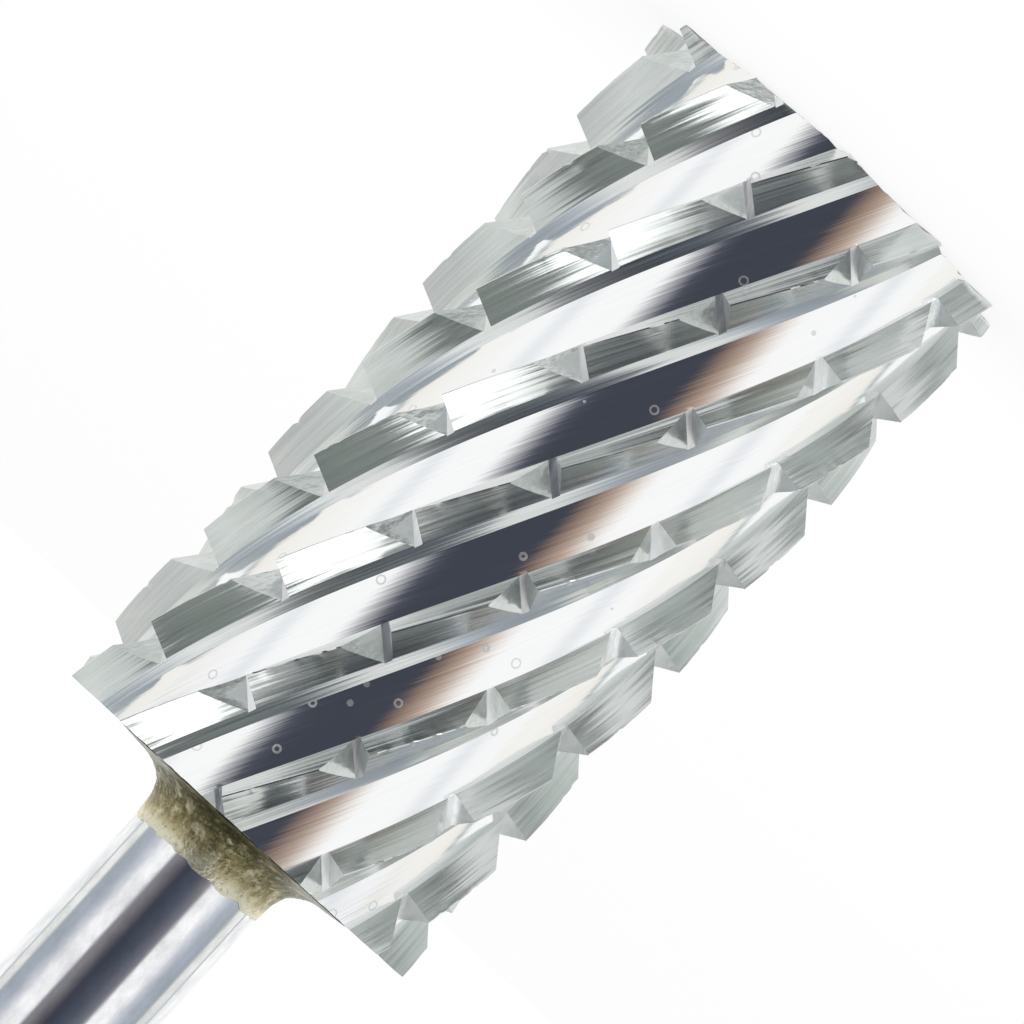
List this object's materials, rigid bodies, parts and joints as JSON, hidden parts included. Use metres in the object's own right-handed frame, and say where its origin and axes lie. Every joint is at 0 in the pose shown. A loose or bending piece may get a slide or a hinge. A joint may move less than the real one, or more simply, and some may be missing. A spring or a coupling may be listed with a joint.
{
  "type": "carbide burr",
  "caption": "Cylindrical cross-cut carbide burr with a flat tip, brazed to a thin straight shank, for trimming and shaping in a handpiece.",
  "frame": {"origin": "centre of the flat tip of the cutting head", "axes": "+Z along the axis of rotation, from the tip towards the shank end; +X and +Y across it"},
  "size_m": [0.0066, 0.0066, 0.045],
  "materials": {
    "cemented_carbide": "bright ground",
    "shank_steel": "polished",
    "braze_alloy": "as brazed, rough"
  },
  "bodies": {
    "root": {"cutting_head": "cemented_carbide", "shank": "shank_steel", "braze_joint": "braze_alloy"}
  },
  "joints": []
}
